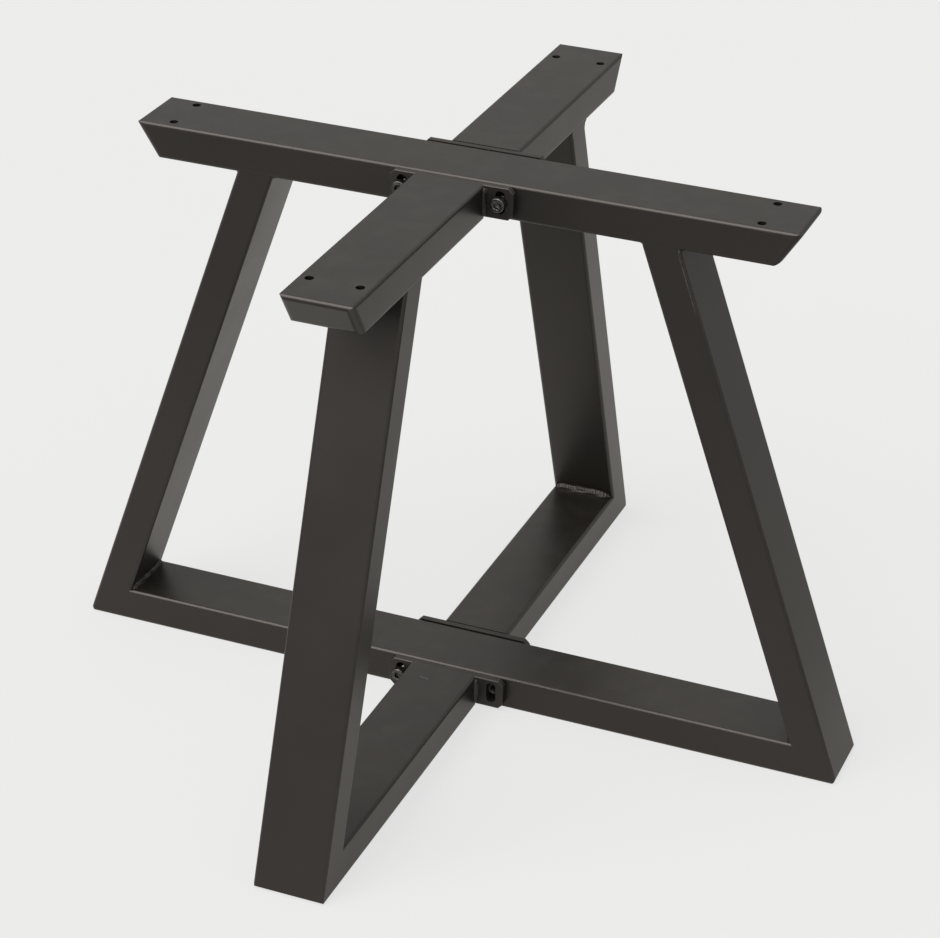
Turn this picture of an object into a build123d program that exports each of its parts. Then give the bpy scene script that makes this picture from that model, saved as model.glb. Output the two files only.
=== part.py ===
from build123d import *
import os
from math import atan2, cos, radians, sin, tan

# Rectangular steel tube
tube_width = 50.0
tube_depth = 25.0
tube_wall = 2.0
tube_corner = 2.0

# Outline that the two crossed frames share
base_height = 404.0
top_length = 479.0
foot_length = 583.0
leg_head_spread = 317.0
foot_round = 4.0
foot_side_round = 4.0

# Slanted ends of the top rails and the plates welded over them
end_cut = 16.0
end_plate = 5.0
end_lower_round = 9.0
end_upper_round = 2.5
end_side_round = 5.0
left_end_short = 3.5

# Screw holes for the tabletop
top_hole_diameter = 6.0
top_hole_from_end = 30.0
top_hole_from_side = 8.0

# Joint plates that bolt the two half frames to the long frame
plate_thickness = 5.0
plate_top_inset = 0.3
plate_bottom_inset = 2.2
plate_chamfer = 3.5
plate_edge_break = 0.5
slot_length = 16.0
slot_width = 7.2
slot_land = 5.4

# Screws of the joints, and how far each joint sits to the right of the tube's middle
screw_to_bead = 2.0
screw_rise = 1.7
front_upper_shift = 1.3
front_lower_shift = 1.8
rear_upper_shift = 0.9
rear_lower_shift = -1.7

# Socket head screws
screw_diameter = 6.0
screw_length = 16.0
head_diameter = 10.0
head_height = 6.0
socket_across_flats = 5.0
socket_depth = 3.0

# Threaded inserts pressed into the long frame's rails
insert_across_flats = 9.0
insert_flange_diameter = 13.0
insert_flange = 1.5
insert_depth = 12.0
insert_crimp_bulge = 1.1
insert_crimp_length = 3.0
insert_fit = 0.05

# Weld beads
weld_leg = 3.0
weld_crown = 0.3
cope_clearance = 0.3

# Directions from the middle of the base
UP = Vector(0, 0, 1)
LEFT = Vector(-1, 0, 0)
RIGHT = Vector(1, 0, 0)
FRONT = Vector(0, -1, 0)
REAR = Vector(0, 1, 0)

# Places worked out from the sizes
underside = base_height - tube_depth
upper_middle = base_height - tube_depth / 2
lower_middle = tube_depth / 2
top_reach = top_length / 2
foot_reach = foot_length / 2
head_reach = leg_head_spread / 2
lean = atan2(foot_reach - head_reach, underside)
leg_span = tube_depth / cos(lean)
mitre_angle = (radians(90) - lean) / 2
mitre_run = tube_depth / tan(mitre_angle)
end_slant = atan2(end_cut, tube_depth)
screw_reach = tube_width / 2 + weld_leg + screw_to_bead + head_diameter / 2
plate_width = 2 * (screw_reach + slot_width / 2 + slot_land)
plate_seat = tube_width / 2 + insert_flange
plate_face = plate_seat + plate_thickness
plate_height = tube_depth - plate_top_inset - plate_bottom_inset
plate_rise = (plate_bottom_inset - plate_top_inset) / 2
hole_reach = top_reach - top_hole_from_end
hole_spacing = tube_width - 2 * top_hole_from_side
overrun = 2 * tube_depth


def place(out, reach, height):
    """Point at a distance out from the middle and a height over the floor."""
    return out * reach + UP * height


def side_plane(out):
    """Upright plane through a frame: x runs out from the middle, y runs up."""
    return Plane(origin=(0, 0, 0), x_dir=out, z_dir=out.cross(UP))


def face_plane(out, reach, height):
    """Upright plane across a frame, facing out: x runs sideways, y runs up."""
    return Plane(origin=place(out, reach, height), x_dir=UP.cross(out), z_dir=out)


def level_plane(out, height):
    """Level plane: x runs sideways, y runs out from the middle."""
    return Plane(origin=place(out, 0, height), x_dir=UP.cross(out), z_dir=-UP)


def leg_plane(out):
    """Plane square to a leg, centred on it below its foot."""
    up_the_leg = UP * cos(lean) - out * sin(lean)
    into_the_leg = out * -cos(lean) - UP * sin(lean)
    start = place(out, foot_reach, 0) + into_the_leg * (tube_depth / 2) - up_the_leg * overrun
    return Plane(origin=start, x_dir=UP.cross(out), z_dir=up_the_leg)


def mitre_plane(out):
    """Plane of the mitre between a leg and its bottom rail, facing the leg."""
    facing_leg = out * sin(mitre_angle) + UP * cos(mitre_angle)
    return Plane(origin=place(out, foot_reach, 0), x_dir=UP.cross(out), z_dir=facing_leg)


def end_reach(out):
    """Reach of a top rail's end, before its upper edge is rounded."""
    if out == LEFT:
        return top_reach - left_end_short
    return top_reach


def end_plane(out):
    """Plane of a top rail's slanted cut, under the end plate, facing out."""
    facing_out = out * cos(end_slant) - UP * sin(end_slant)
    seat = place(out, end_reach(out), base_height) - facing_out * end_plate
    return Plane(origin=seat, x_dir=UP.cross(out), z_dir=facing_out)


def along_end_plane(out):
    """Plane square to the slope of a top rail's end: x runs sideways, y runs out of the end."""
    down_the_end = out * -sin(end_slant) - UP * cos(end_slant)
    corner = place(out, end_reach(out), base_height)
    return Plane(origin=corner, x_dir=UP.cross(out), z_dir=down_the_end)


def tube_section(plane):
    """Hollow section of the tube."""
    with BuildSketch(plane) as section:
        RectangleRounded(tube_width, tube_depth, tube_corner)
        bore_width = tube_width - 2 * tube_wall
        bore_depth = tube_depth - 2 * tube_wall
        Rectangle(bore_width, bore_depth, mode=Mode.SUBTRACT)
    return section.sketch


def tube_outline(plane):
    """Outside of the tube's section, filled."""
    with BuildSketch(plane) as outline:
        RectangleRounded(tube_width, tube_depth, tube_corner)
    return outline.sketch


def foot_profile(out):
    """Side view of the legs and the bottom rail, with the foot corners rounded."""
    head_at_top = foot_reach - base_height * tan(lean)
    with BuildSketch(side_plane(out)) as profile:
        with BuildLine():
            Polyline(
                (-foot_reach, 0),
                (foot_reach, 0),
                (head_at_top, base_height),
                (-head_at_top, base_height),
                close=True,
            )
        make_face()
        fillet(profile.vertices().group_by(Axis.Y)[0], radius=foot_round)
    return profile.sketch


def foot_plan(out):
    """Plan of a frame on the floor, with the corners of its feet rounded."""
    with BuildSketch(Plane(origin=(0, 0, 0), x_dir=out, z_dir=UP)) as plan:
        RectangleRounded(foot_length, tube_width, foot_side_round)
    return plan.sketch


def end_profile(out):
    """Side view of a top rail's slanted ends, with both corners rounded."""
    upper_reach = end_reach(out)
    lower_reach = upper_reach - end_cut
    with BuildSketch(side_plane(out)) as profile:
        with BuildLine():
            Polyline(
                (-lower_reach, underside),
                (lower_reach, underside),
                (upper_reach, base_height),
                (-upper_reach, base_height),
                close=True,
            )
        make_face()
        fillet(profile.vertices().group_by(Axis.Y)[0], radius=end_lower_round)
        fillet(profile.vertices().group_by(Axis.Y)[-1], radius=end_upper_round)
    return profile.sketch


def bead_section(plane, corner, first, second):
    """Section of a weld bead in the corner between two faces."""
    corner = Vector(*corner)
    toe_one = corner + Vector(*first) * weld_leg
    toe_two = corner + Vector(*second) * weld_leg
    chord_middle = (toe_one + toe_two) * 0.5
    crown = chord_middle + (chord_middle - corner).normalized() * weld_crown
    with BuildSketch(plane) as section:
        with BuildLine():
            Line(corner, toe_one)
            ThreePointArc(toe_one, crown, toe_two)
            Line(toe_two, corner)
        make_face()
    return section.sketch


def screw_spots(out, height, shift):
    """Places of a joint's two screws, seen from outside: aside from the middle, up from the floor."""
    aside = shift * UP.cross(out).X
    rise = height + screw_rise
    return [(aside - screw_reach, rise), (aside + screw_reach, rise)]


def insert_hexagons(out, spots, depth, wider=0):
    """Hexagons of threaded inserts, at a depth inside a rail's side face, wider on every flat."""
    with BuildSketch(face_plane(out, tube_width / 2 - depth, 0)) as hexagons:
        with Locations(*spots):
            RegularPolygon(insert_across_flats / 2 + wider, side_count=6, major_radius=False)
    return hexagons.sketch


def cut_insert_holes(front_spots, rear_spots):
    """Hexagon holes for the inserts in both sides of the rail being built."""
    for out, spots in ((FRONT, front_spots), (REAR, rear_spots)):
        holes = insert_hexagons(out, spots, 0, insert_fit)
        extrude(holes, amount=-insert_depth, mode=Mode.SUBTRACT)


def make_long_top_rail():
    """Top rail that runs through, with its tabletop holes and insert holes."""
    with BuildPart() as rail:
        extrude(tube_section(face_plane(RIGHT, -top_reach, upper_middle)), amount=top_length)
        for out in (LEFT, RIGHT):
            split(bisect_by=end_plane(out), keep=Keep.BOTTOM)
        with Locations(Plane.XY.offset(base_height)):
            with GridLocations(2 * hole_reach, hole_spacing, 2, 2):
                Hole(top_hole_diameter / 2)
        cut_insert_holes(front_upper_spots, rear_upper_spots)
    return rail.part


def make_long_bottom_rail():
    """Bottom rail that runs through, mitred to both legs."""
    with BuildPart() as rail:
        extrude(tube_section(face_plane(RIGHT, -foot_reach, lower_middle)), amount=foot_length)
        for out in (LEFT, RIGHT):
            split(bisect_by=mitre_plane(out), keep=Keep.BOTTOM)
        extrude(foot_profile(RIGHT), amount=tube_width / 2, both=True, mode=Mode.INTERSECT)
        extrude(foot_plan(RIGHT), amount=base_height, mode=Mode.INTERSECT)
        cut_insert_holes(front_lower_spots, rear_lower_spots)
    return rail.part


def make_half_top_rail(out):
    """Top rail from a joint plate out to its slanted end."""
    with BuildPart() as rail:
        length = top_reach - plate_face
        extrude(tube_section(face_plane(out, plate_face, upper_middle)), amount=length)
        split(bisect_by=end_plane(out), keep=Keep.BOTTOM)
        with Locations(level_plane(out, base_height)):
            with Locations((-hole_spacing / 2, hole_reach), (hole_spacing / 2, hole_reach)):
                Hole(top_hole_diameter / 2)
    return rail.part


def make_half_bottom_rail(out):
    """Bottom rail from a joint plate out to the mitre at its leg."""
    with BuildPart() as rail:
        length = foot_reach - plate_face
        extrude(tube_section(face_plane(out, plate_face, lower_middle)), amount=length)
        split(bisect_by=mitre_plane(out), keep=Keep.BOTTOM)
        extrude(foot_profile(out), amount=tube_width / 2, both=True, mode=Mode.INTERSECT)
        extrude(foot_plan(out), amount=base_height, mode=Mode.INTERSECT)
    return rail.part


def make_leg(out):
    """Sloping leg, mitred at the foot and coped to the rail's rounded corners."""
    with BuildPart() as leg:
        extrude(tube_section(leg_plane(out)), amount=base_height / cos(lean) + 2 * overrun)
        split(bisect_by=mitre_plane(out), keep=Keep.TOP)
        cope_top = underside + tube_corner - cope_clearance
        split(bisect_by=Plane.XY.offset(cope_top), keep=Keep.BOTTOM)
        extrude(
            tube_outline(face_plane(out, 0, upper_middle)),
            amount=top_reach,
            mode=Mode.SUBTRACT,
        )
        extrude(foot_profile(out), amount=tube_width / 2, both=True, mode=Mode.INTERSECT)
        extrude(foot_plan(out), amount=base_height, mode=Mode.INTERSECT)
    return leg.part


def make_end_cap(out):
    """Plate welded over a top rail's slanted end and ground to the tube."""
    with BuildPart() as cap:
        with BuildSketch(face_plane(out, 0, upper_middle)):
            RectangleRounded(tube_width, tube_depth, tube_corner)
        extrude(amount=top_reach)
        split(bisect_by=end_plane(out), keep=Keep.TOP)
        extrude(end_profile(out), amount=tube_width / 2, both=True, mode=Mode.INTERSECT)
        with BuildSketch(along_end_plane(out)):
            for side in (-1, 1):
                with Locations((side * tube_width / 2, 0)):
                    Rectangle(2 * end_side_round, 2 * end_side_round)
                inside = tube_width / 2 - end_side_round
                with Locations((side * inside, -end_side_round)):
                    Circle(end_side_round, mode=Mode.SUBTRACT)
        extrude(amount=2 * tube_depth, both=True, mode=Mode.SUBTRACT)
    return cap.part


def make_joint_plate(out, height, spots):
    """Plate on the inner end of a half rail, wider than the tube, with two upright slots."""
    aside = (spots[0][0] + spots[1][0]) / 2
    with BuildPart() as plate:
        with BuildSketch(face_plane(out, plate_seat, 0)) as outline:
            with Locations((aside, height + plate_rise)):
                Rectangle(plate_width, plate_height)
            chamfer(outline.vertices(), length=plate_chamfer)
            with Locations(*spots):
                SlotOverall(slot_length, slot_width, rotation=90, mode=Mode.SUBTRACT)
        extrude(amount=plate_thickness)
        outer_face = plate.faces().sort_by(Axis((0, 0, 0), out))[-1]
        chamfer(outer_face.outer_wire().edges(), length=plate_edge_break)
    return plate.part


def make_screws(out, spots):
    """Socket head screws through a half frame's joint plates, heads outside."""
    with BuildPart() as screws:
        with BuildSketch(face_plane(out, plate_face, 0)):
            with Locations(*spots):
                Circle(head_diameter / 2)
        extrude(amount=head_height)
        with BuildSketch(face_plane(out, plate_face + head_height, 0)):
            with Locations(*spots):
                RegularPolygon(socket_across_flats / 2, side_count=6, major_radius=False)
        extrude(amount=-socket_depth, mode=Mode.SUBTRACT)
        with BuildSketch(face_plane(out, plate_face, 0)):
            with Locations(*spots):
                Circle(screw_diameter / 2)
        extrude(amount=-screw_length)
    return screws.part


def make_inserts():
    """Threaded inserts of both rails: flange outside, hexagon body crimped behind the wall."""
    front_spots = front_upper_spots + front_lower_spots
    rear_spots = rear_upper_spots + rear_lower_spots
    sides = ((FRONT, front_spots), (REAR, rear_spots))
    with BuildPart() as inserts:
        for out, spots in sides:
            crimps = insert_hexagons(out, spots, tube_wall, insert_crimp_bulge)
            extrude(crimps, amount=-insert_crimp_length)
        crimp_ends = inserts.faces().filter_by(Axis.Y)
        chamfer(crimp_ends.edges(), length=insert_crimp_bulge)
        for out, spots in sides:
            extrude(insert_hexagons(out, spots, 0), amount=-insert_depth)
            with BuildSketch(face_plane(out, tube_width / 2, 0)):
                with Locations(*spots):
                    Circle(insert_flange_diameter / 2)
            extrude(amount=insert_flange)
            with BuildSketch(face_plane(out, plate_seat, 0)):
                with Locations(*spots):
                    Circle(screw_diameter / 2)
            extrude(amount=-insert_flange - insert_depth, mode=Mode.SUBTRACT)
    return inserts.part


def leg_bead_sections(out):
    """Sections of the three beads across a leg: inside the foot and both sides of its head."""
    plane = side_plane(out)
    down_the_leg = (sin(lean), -cos(lean))
    up_the_leg = (-sin(lean), cos(lean))
    inner_head = head_reach - leg_span
    return [
        bead_section(plane, (foot_reach - mitre_run, tube_depth), (-1, 0), up_the_leg),
        bead_section(plane, (head_reach, underside), (1, 0), down_the_leg),
        bead_section(plane, (inner_head, underside), (-1, 0), down_the_leg),
    ]


def make_long_welds():
    """Beads of the long frame, as wide as the tube's flat face."""
    flat = tube_width / 2 - tube_corner
    with BuildPart() as welds:
        for out in (LEFT, RIGHT):
            for section in leg_bead_sections(out):
                extrude(section, amount=flat, both=True)
    return welds.part


def make_half_welds(out):
    """Beads of a half frame: across its leg and beside both of its joint plates."""
    flat_width = tube_width / 2 - tube_corner
    beside_plate = tube_depth / 2 - plate_bottom_inset - plate_edge_break
    with BuildPart() as welds:
        for section in leg_bead_sections(out):
            extrude(section, amount=flat_width, both=True)
        for height in (lower_middle, upper_middle):
            for side in (-1, 1):
                corner = (side * tube_width / 2, plate_face)
                section = bead_section(level_plane(out, height), corner, (side, 0), (0, 1))
                extrude(section, amount=beside_plate, both=True)
    return welds.part


front_upper_spots = screw_spots(FRONT, upper_middle, front_upper_shift)
front_lower_spots = screw_spots(FRONT, lower_middle, front_lower_shift)
rear_upper_spots = screw_spots(REAR, upper_middle, rear_upper_shift)
rear_lower_spots = screw_spots(REAR, lower_middle, rear_lower_shift)

# Every sub-part by its name
pieces = {
    "long_top_rail": make_long_top_rail(),
    "long_bottom_rail": make_long_bottom_rail(),
    "long_left_leg": make_leg(LEFT),
    "long_right_leg": make_leg(RIGHT),
    "long_left_end_cap": make_end_cap(LEFT),
    "long_right_end_cap": make_end_cap(RIGHT),
    "long_frame_welds": make_long_welds(),
    "threaded_inserts": make_inserts(),
}
for name, out in (("front", FRONT), ("rear", REAR)):
    pieces[name + "_top_rail"] = make_half_top_rail(out)
    pieces[name + "_bottom_rail"] = make_half_bottom_rail(out)
    pieces[name + "_leg"] = make_leg(out)
    pieces[name + "_end_cap"] = make_end_cap(out)
    pieces[name + "_half_welds"] = make_half_welds(out)

pieces["front_upper_plate"] = make_joint_plate(FRONT, upper_middle, front_upper_spots)
pieces["front_lower_plate"] = make_joint_plate(FRONT, lower_middle, front_lower_spots)
pieces["rear_upper_plate"] = make_joint_plate(REAR, upper_middle, rear_upper_spots)
pieces["rear_lower_plate"] = make_joint_plate(REAR, lower_middle, rear_lower_spots)

# The front lower joint holds one screw, on the left; its right slot is empty
pieces["front_screws"] = make_screws(FRONT, front_upper_spots + front_lower_spots[:1])
pieces["rear_screws"] = make_screws(REAR, rear_upper_spots + rear_lower_spots)

os.makedirs("parts", exist_ok=True)
for name, piece in pieces.items():
    piece.label = name
    export_step(piece, "parts/" + name + ".step")
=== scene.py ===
import math
import random

import bpy
from mathutils import Matrix, Vector, noise


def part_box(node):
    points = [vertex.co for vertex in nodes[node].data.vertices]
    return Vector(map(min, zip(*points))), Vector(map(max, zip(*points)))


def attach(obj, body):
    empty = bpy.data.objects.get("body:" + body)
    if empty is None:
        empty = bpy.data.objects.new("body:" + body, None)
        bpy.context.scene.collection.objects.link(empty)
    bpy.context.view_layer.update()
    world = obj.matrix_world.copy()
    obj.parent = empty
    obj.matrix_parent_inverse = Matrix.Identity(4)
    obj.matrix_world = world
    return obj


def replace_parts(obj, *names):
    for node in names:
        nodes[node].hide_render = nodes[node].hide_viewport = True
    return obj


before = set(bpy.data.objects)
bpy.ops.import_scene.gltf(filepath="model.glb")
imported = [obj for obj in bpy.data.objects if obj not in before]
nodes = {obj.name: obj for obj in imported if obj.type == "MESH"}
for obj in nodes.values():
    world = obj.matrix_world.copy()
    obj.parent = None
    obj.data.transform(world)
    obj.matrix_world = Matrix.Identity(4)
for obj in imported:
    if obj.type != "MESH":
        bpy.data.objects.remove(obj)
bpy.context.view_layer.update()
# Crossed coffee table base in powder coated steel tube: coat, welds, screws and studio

mm = 0.001

# The picture and the camera that took it
PICTURE_WIDTH = 940
SENSOR_WIDTH = 36.0
FOCAL_PIXELS = 2917.0
CAMERA_AZIMUTH = math.radians(22.01)
CAMERA_ELEVATION = math.radians(28.43)
CAMERA_ROLL = math.radians(0.90)
CAMERA_DISTANCE = 1.9823
LOOK_AT = Vector((0.02525, -0.0490, 0.202))

# Directions from the middle of the base
UP = Vector((0, 0, 1))
LEFT = Vector((-1, 0, 0))
RIGHT = Vector((1, 0, 0))
FRONT = Vector((0, -1, 0))
REAR = Vector((0, 1, 0))

# Powder coat
COAT_COLOUR = (0.0070, 0.0060, 0.0048, 1)
COAT_COOL_COLOUR = (0.0064, 0.0057, 0.0054, 1)
COAT_THIN_COLOUR = (0.024, 0.021, 0.018, 1)
COAT_SHEEN_COLOUR = (1.0, 0.935, 0.905, 1)
SCUFF_COLOUR = (0.070, 0.066, 0.063, 1)
DUST_COLOUR = (0.30, 0.29, 0.27, 1)
THIN_SHARE = 0.35
FLECK_SHARE = 0.10
DUST_SHARE = 0.02
TONE_CHANGE = 0.12
COAT_ROUGHNESS = 0.38
PLATE_ROUGHNESS = 0.45
ROUGHNESS_CHANGE = 0.10
GRAIN_CELL = 0.55 * mm
GRAIN_HEIGHT = 0.03 * mm
WELD_GRAIN_HEIGHT = 0.05 * mm
GRAIN_STRENGTH = 0.5
PEEL_SIZE = 3.5 * mm
PEEL_SHARE = 0.5
DRIFT_SIZE = 70 * mm
DUST_SIZE = 18 * mm
CORNER_SOFTNESS = 2.5 * mm
THIN_REACH = 2.0 * mm
THIN_RAGGED_SIZE = 6 * mm
PLATE_EDGE_REACH = 0.8 * mm
SCUFF_RAGGED_SIZE = 1.1 * mm

# Welds
BEAD_LEG = 3.0 * mm
FOOT_BEAD_LEG = 3.4 * mm
REAR_FOOT_BEAD_LEG = 5.0 * mm
HEAD_BEAD_LEG = 0.85 * BEAD_LEG
PLATE_BEAD_LEG = 0.8 * BEAD_LEG
REAR_HEAD_FILLET_LEG = 6.0 * mm
REAR_HEAD_FILLET_CROWN = -0.22
REAR_HEAD_FILLET_TAPER = 0.1
REAR_HEAD_FILLET_STOP = 0.3 * mm
LEFT_LEG_SEED = 11
RIGHT_LEG_SEED = 21
FRONT_HALF_SEED = 31
REAR_HALF_SEED = 61
PLATE_SEED_STEP = 10
BEAD_CROWN = 0.20
BEAD_TAPER = 1.2
BEAD_STOP = 2.2 * mm
BEAD_END_SWELL = 0.04
BEAD_LAG = 0.5
BEAD_ROOT = 0.3
BEAD_WANDER = 0.16
WANDER_LENGTH = 2.2
TOE_WANDER = 0.14
RIPPLE_LENGTH = 2.3 * mm
RIPPLE_HEIGHT = 0.045
BEAD_STEP = 0.4 * mm
BEAD_SIDES = 14
BEAD_SINK = 0.25 * mm
BEAD_SHARP_ANGLE = math.radians(40)
PLATE_BEAD_LOW_STOP = 0.5 * mm
PLATE_BEAD_HIGH_STOP = 1.5 * mm

# Screws
THREAD_RADIUS = 3.0 * mm
THREAD_PITCH = 1.0 * mm
THREAD_HEIGHT = 0.5 * mm
THREAD_POINT = 0.4 * mm
THREAD_SIDES = 20
THREAD_ROWS = 5
KNURL_TEETH = 48
KNURL_DEPTH = 0.12 * mm
KNURL_START = 0.10
KNURL_END = 0.72
PLAIN_BAND_START = 0.78
PLAIN_BAND_INSET = 0.05 * mm
HEAD_FOOT_INSET = 0.5 * mm
HEAD_FOOT_RISE = 0.25 * mm
HEAD_FOOT_SHOULDER = 0.15 * mm
HEAD_EDGE = 0.7 * mm
FASTENER_SHARP_ANGLE = math.radians(30)
SOCKET_SIZE = 5.0 * mm
SOCKET_DEPTH = 3.0 * mm
SOCKET_LEAD = 0.30 * mm
SOCKET_RIM = 0.75 * mm
DRILL_POINT = 0.8 * mm
DRILL_RADIUS = 0.4 * mm
FRONT_SCREW_TURNS = (12, 40, 25)
REAR_SCREW_TURNS = (5, 50, 33, 18)

# Threaded inserts
INSERT_FLATS = 9.0 * mm
INSERT_SIDES = 48
INSERT_LEAD = 0.45 * mm
FLANGE_EDGE = 0.25 * mm
CRIMP_START = 2.0 * mm
CRIMP_LENGTH = 3.0 * mm
CRIMP_BULGE = 2.1 * mm

# Steel
SCREW_COLOUR = (0.15, 0.144, 0.137, 1)
SCREW_ROUGHNESS = 0.34
SCREW_RUBBED = 3.0
# Inserts are coloured far darker than the screws: painted shade of the slots they sit in
INSERT_SHADED_COLOUR = (0.05, 0.047, 0.042, 1)
INSERT_ROUGHNESS = 0.42
INSERT_RUBBED = 2.0
STEEL_EDGE_REACH = 0.35 * mm
GRIME_SIZE = 1.6 * mm
GRIME_SHADE = 0.45
GRIME_ROUGHNESS = 0.08
STREAK_SIZE = 0.4 * mm
STREAK_HEIGHT = 0.01 * mm
STREAK_STRENGTH = 0.4

# Paper floor: as lit, as seen, and as the coat mirrors it, which is a painted reflection: a glow that only
# reflections see
FLOOR_REACH = 9.0
FLOOR_COLOUR = (0.60, 0.605, 0.61, 1)
FLOOR_ROUGHNESS = 0.95
FLOOR_CLOUD = 0.6
FLOOR_UNEVENNESS = 0.01
FLOOR_SEEN_COLOUR = (0.815, 0.815, 0.815, 1)
FLOOR_SEEN_SHARE = 0.84
# Painted reflection: the colour the floor glows in for reflections only, though it is no lamp
FLOOR_PAINTED_REFLECTION_COLOUR = (0.585, 0.560, 0.515, 1)
FLOOR_PAINTED_REFLECTION_SHARE = 0.72

# Painted shade and painted light in that painted reflection: it dims towards the front and the right, and
# brightens to the rear
FLOOR_FRONT_SHARE = 0.42
FLOOR_FRONT_START = -0.05
FLOOR_FRONT_END = -1.1
FLOOR_LEFT_SHARE = 1.22
FLOOR_RIGHT_SHARE = 0.3
FLOOR_RIGHT_START = 0.32
FLOOR_RIGHT_END = 0.46
FLOOR_REAR_SHARE = 1.2
FLOOR_REAR_START = 0.1
FLOOR_REAR_END = 0.5

# Room light, by direction: each start and end is a part of the direction looked in
ROOM_COLOUR = (1.0, 0.982, 0.945, 1)
ROOM_LIGHT = 0.87
ROOM_LOW_BACK_LIGHT = 0.44
LOW_BACK_START = 0.32
LOW_BACK_END = 0.56
BEHIND_START = -0.1
BEHIND_END = 0.6
ROOM_LOW_FRONT_LIGHT = 0.10
ROOM_FRONT_LIGHT = 1.35
PANEL_START = 0.11
PANEL_END = 0.24
ROOM_HIGH_FRONT_LIGHT = 0.5
HIGH_START = 0.3
HIGH_END = 0.6
IN_FRONT_START = -0.15
IN_FRONT_END = -0.5
PANEL_RIGHT_START = 0.2
PANEL_RIGHT_END = 0.7

# Key lamp, in degrees from the front towards the right, and up
KEY_AZIMUTH = -35
KEY_ELEVATION = 55
KEY_STRENGTH = 2.5
KEY_WIDTH = 50
LAMP_COLOUR = (1.0, 0.97, 0.92)
LAMP_DISTANCE = 3.0


# Node trees

def feed(tree, value, socket):
    """Link a socket to an input, or set the input to a plain value."""
    if isinstance(value, bpy.types.NodeSocket):
        tree.links.new(value, socket)
    else:
        socket.default_value = value


def node(tree, kind, inputs=None, **settings):
    """Add a node, with its settings and what feeds its inputs."""
    made = tree.nodes.new(kind)
    for name, value in settings.items():
        setattr(made, name, value)
    for key, value in (inputs or {}).items():
        feed(tree, value, made.inputs[key])
    return made


def maths(tree, operation, first, second=0.0):
    """One sum on two values."""
    inputs = {0: first, 1: second}
    return node(tree, "ShaderNodeMath", inputs, operation=operation).outputs[0]


def vector_maths(tree, operation, first, second, output="Vector"):
    """One sum on two vectors."""
    inputs = {0: first, 1: second}
    return node(tree, "ShaderNodeVectorMath", inputs, operation=operation).outputs[output]


def remap(tree, value, low, high, to_low=0.0, to_high=1.0):
    """Carry a value smoothly from one range to another."""
    inputs = {"Value": value, "From Min": low, "From Max": high, "To Min": to_low, "To Max": to_high}
    made = node(tree, "ShaderNodeMapRange", inputs, interpolation_type="SMOOTHSTEP")
    return made.outputs["Result"]


def mix_colour(tree, share, first, second, blend="MIX"):
    """Mix two colours."""
    made = node(tree, "ShaderNodeMix", data_type="RGBA", blend_type=blend)
    feed(tree, share, made.inputs[0])
    feed(tree, first, made.inputs[6])
    feed(tree, second, made.inputs[7])
    return made.outputs[2]


def place_on_object(tree):
    """Place on the object, in metres."""
    return node(tree, "ShaderNodeTexCoord").outputs["Object"]


def noise_value(tree, size, detail=3.0):
    """Cloudy noise with clouds of a size in metres."""
    inputs = {"Vector": place_on_object(tree), "Scale": 1.0 / size, "Detail": detail}
    return node(tree, "ShaderNodeTexNoise", inputs).outputs[0]


def effect(name, inputs, outputs):
    """Start a shader node group with named inputs and outputs."""
    tree = bpy.data.node_groups.new(name, "ShaderNodeTree")
    kinds = {"value": "NodeSocketFloat", "colour": "NodeSocketColor", "vector": "NodeSocketVector"}
    for label, kind, start in inputs:
        socket = tree.interface.new_socket(name=label, in_out="INPUT", socket_type=kinds[kind])
        socket.default_value = start
    for label, kind in outputs:
        tree.interface.new_socket(name=label, in_out="OUTPUT", socket_type=kinds[kind])
    given = tree.nodes.new("NodeGroupInput").outputs
    result = tree.nodes.new("NodeGroupOutput").inputs
    return tree, given, result


def use_effect(tree, group, **values):
    """Place a node group in a material, with its own values."""
    made = node(tree, "ShaderNodeGroup", node_tree=group)
    for label, value in values.items():
        feed(tree, value, made.inputs[label.replace("_", " ")])
    return made.outputs


def powder_grain():
    """Fine grain and soft orange peel of sprayed powder."""
    inputs = [
        ("Cell", "value", GRAIN_CELL),
        ("Peel", "value", PEEL_SIZE),
        ("Peel Share", "value", PEEL_SHARE),
    ]
    tree, given, result = effect("powder_grain", inputs, [("Height", "value"), ("Fleck", "value")])
    where = place_on_object(tree)
    cells = node(
        tree,
        "ShaderNodeTexVoronoi",
        {"Vector": where, "Scale": maths(tree, "DIVIDE", 1.0, given["Cell"]), "Smoothness": 0.6},
        feature="SMOOTH_F1",
    )
    peel = node(
        tree,
        "ShaderNodeTexNoise",
        {"Vector": where, "Scale": maths(tree, "DIVIDE", 1.0, given["Peel"]), "Detail": 2.0},
    )
    grain = maths(tree, "SUBTRACT", 1.0, cells.outputs["Distance"])
    soft = maths(tree, "MULTIPLY", peel.outputs[0], given["Peel Share"])
    feed(tree, maths(tree, "ADD", grain, soft), result["Height"])
    feed(tree, remap(tree, cells.outputs["Distance"], 0.25, 0.6), result["Fleck"])
    return tree


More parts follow.
